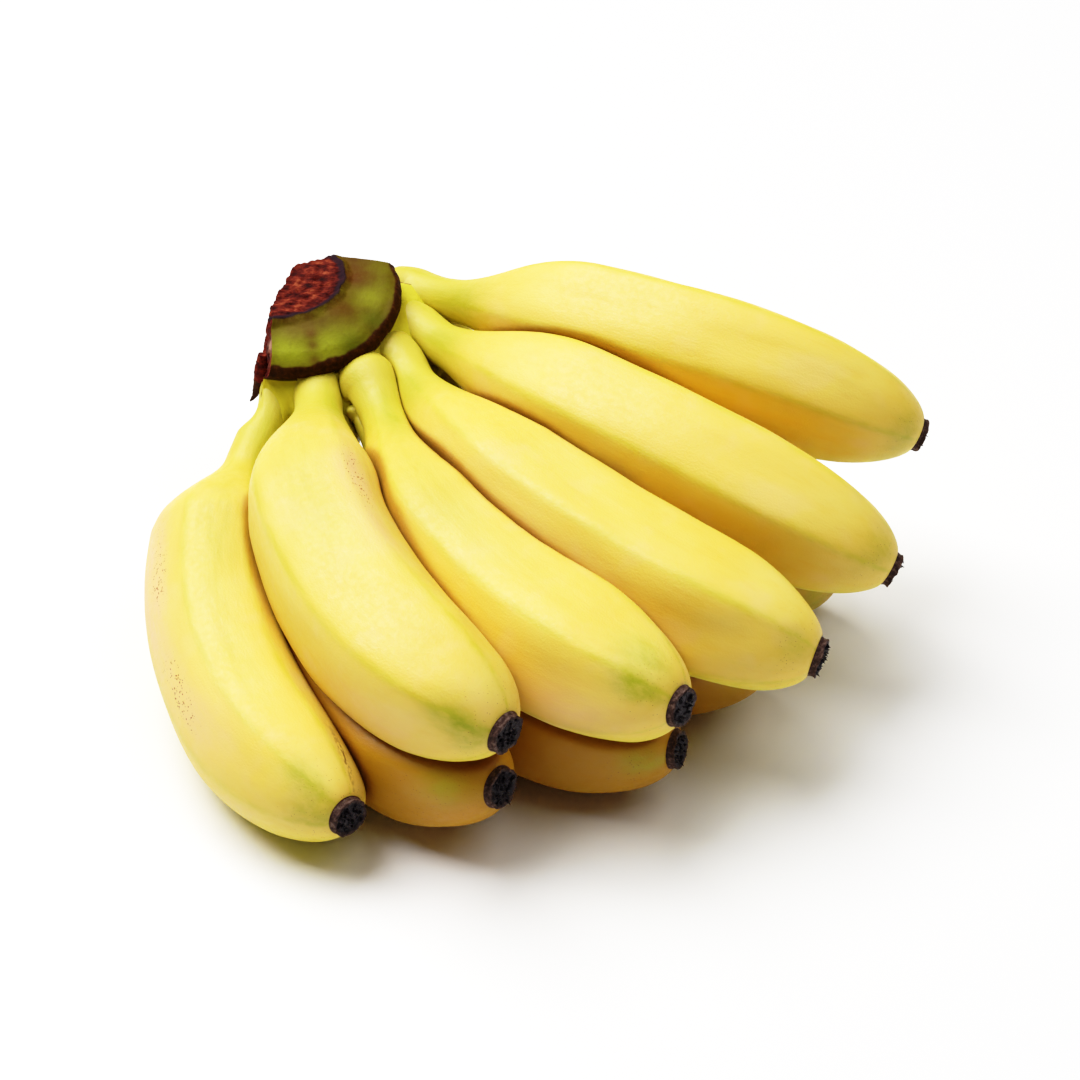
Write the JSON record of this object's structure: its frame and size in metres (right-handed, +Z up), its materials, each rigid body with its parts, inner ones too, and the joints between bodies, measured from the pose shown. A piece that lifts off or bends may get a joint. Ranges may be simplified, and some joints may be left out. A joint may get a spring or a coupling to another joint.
{
  "type": "hand of baby bananas",
  "caption": "Small hand of ripe baby bananas cut from its bunch, lying hollow side down, with a trimmed crown, two rows of short curved fingers and dark blossom ends.",
  "frame": {"origin": "bottom middle of the hand's bounding box, on the surface that it lies on", "axes": "+X towards the right side, where the blossom ends of the last fingers point, -Y towards the viewer of the front, +Z up"},
  "size_m": [0.1575, 0.1465, 0.0658],
  "materials": {
    "banana_skin": "satin waxy yellow skin",
    "crown_rind": "dull olive rind",
    "blossom_end": "matt dried plant"
  },
  "bodies": {
    "root": {"crown": "crown_rind", "finger_upper_1": "banana_skin", "finger_upper_2": "banana_skin", "finger_upper_3": "banana_skin", "finger_upper_4": "banana_skin", "finger_upper_5": "banana_skin", "finger_upper_6": "banana_skin", "finger_lower_1": "banana_skin", "finger_lower_2": "banana_skin", "finger_lower_3": "banana_skin", "finger_lower_4": "banana_skin", "finger_lower_5": "banana_skin", "blossom_end_upper_1": "blossom_end", "blossom_end_upper_2": "blossom_end", "blossom_end_upper_3": "blossom_end", "blossom_end_upper_4": "blossom_end", "blossom_end_upper_5": "blossom_end", "blossom_end_upper_6": "blossom_end", "blossom_end_lower_1": "blossom_end", "blossom_end_lower_2": "blossom_end", "blossom_end_lower_3": "blossom_end", "blossom_end_lower_4": "blossom_end", "blossom_end_lower_5": "blossom_end"}
  },
  "joints": []
}
